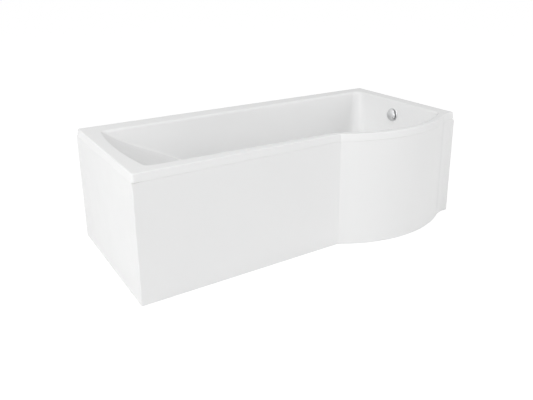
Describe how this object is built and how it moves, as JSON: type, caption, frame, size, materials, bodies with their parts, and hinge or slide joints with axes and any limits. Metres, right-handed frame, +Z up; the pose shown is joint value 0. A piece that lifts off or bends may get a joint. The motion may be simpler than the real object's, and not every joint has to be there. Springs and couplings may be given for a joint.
{
  "type": "p-shaped shower bath",
  "caption": "White acrylic P-shaped shower bath with a bulged foot end, clip-on front and end panels, adjustable feet, and a plug worked by the overflow knob.",
  "frame": {"origin": "on the floor under the middle of the bath's box", "axes": "+X along the length from the head to the foot and shower end, +Y to the wall behind the bath, +Z up"},
  "size_m": [1.7, 0.85, 0.54],
  "materials": {
    "white_acrylic": "gloss white sheet acrylic",
    "softwood": "planed softwood",
    "chipboard": "raw chipboard",
    "zinc_steel": "zinc plated steel",
    "chrome": "polished chrome",
    "brass": "turned brass",
    "black_rubber": "matt rubber",
    "black_plastic": "moulded black plastic",
    "white_plastic": "moulded white polypropylene"
  },
  "bodies": {
    "bath": {"base_board": "chipboard", "bath_shell": "white_acrylic", "end_panel": "white_acrylic", "foot_nuts": "zinc_steel", "front_panel": "white_acrylic", "leg_bar_foot": "zinc_steel", "leg_bar_head": "zinc_steel", "leg_bar_screws": "zinc_steel", "lever_pin": "zinc_steel", "outlet_pipe": "white_plastic", "overflow_elbow": "white_plastic", "overflow_gasket": "black_rubber", "overflow_pipe": "white_plastic", "overflow_rosette": "chrome", "panel_bracket_foot": "zinc_steel", "panel_bracket_head": "zinc_steel", "panel_clip_screws": "zinc_steel", "panel_clips": "zinc_steel", "pipe_union_nuts": "white_plastic", "rim_batten_back": "softwood", "rim_batten_foot": "softwood", "rim_batten_front": "softwood", "rim_batten_head": "softwood", "trap_body": "white_plastic", "trap_union_nuts": "white_plastic", "wall_bracket_screws": "zinc_steel", "wall_brackets": "zinc_steel", "waste_body": "white_plastic", "waste_flange": "chrome", "waste_flange_seal": "black_rubber", "waste_gasket": "black_rubber"},
    "overflow_knob": {"overflow_knob": "chrome", "knob_spindle": "brass"},
    "plug": {"waste_plug": "chrome", "plug_seal": "black_rubber", "plug_stem": "brass"},
    "lift_lever": {"lift_lever": "white_plastic"},
    "foot_head_front": {"foot_pad_head_front": "black_plastic", "foot_rod_head_front": "zinc_steel"},
    "foot_head_back": {"foot_pad_head_back": "black_plastic", "foot_rod_head_back": "zinc_steel"},
    "foot_foot_front": {"foot_pad_foot_front": "black_plastic", "foot_rod_foot_front": "zinc_steel"},
    "foot_foot_back": {"foot_pad_foot_back": "black_plastic", "foot_rod_foot_back": "zinc_steel"}
  },
  "joints": [
    {"name": "overflow_turn", "type": "hinge", "parent": "bath", "child": "overflow_knob", "pos_m": [0.76311, 0.04, 0.462], "axis": [-0.9936, 0, 0.1132], "range_deg": [0, 100]},
    {"name": "plug_lift", "type": "slide", "parent": "bath", "child": "plug", "axis": [0, 0, 1], "range_m": [0, 0.009]},
    {"name": "lever_tilt", "type": "hinge", "parent": "bath", "child": "lift_lever", "pos_m": [0.599, 0.04, 0.095], "axis": [0, 1, 0], "range_deg": [0, 37.5]},
    {"name": "foot_head_front_height", "type": "slide", "parent": "bath", "child": "foot_head_front", "axis": [0, 0, -1], "range_m": [0, 0.035]},
    {"name": "foot_head_back_height", "type": "slide", "parent": "bath", "child": "foot_head_back", "axis": [0, 0, -1], "range_m": [0, 0.035]},
    {"name": "foot_foot_front_height", "type": "slide", "parent": "bath", "child": "foot_foot_front", "axis": [0, 0, -1], "range_m": [0, 0.035]},
    {"name": "foot_foot_back_height", "type": "slide", "parent": "bath", "child": "foot_foot_back", "axis": [0, 0, -1], "range_m": [0, 0.035]}
  ],
  "couplings": [
    {"joint": "plug_lift", "follows": "overflow_turn", "m_per_rad": 0.005156},
    {"joint": "lever_tilt", "follows": "overflow_turn", "ratio": 0.3748}
  ]
}
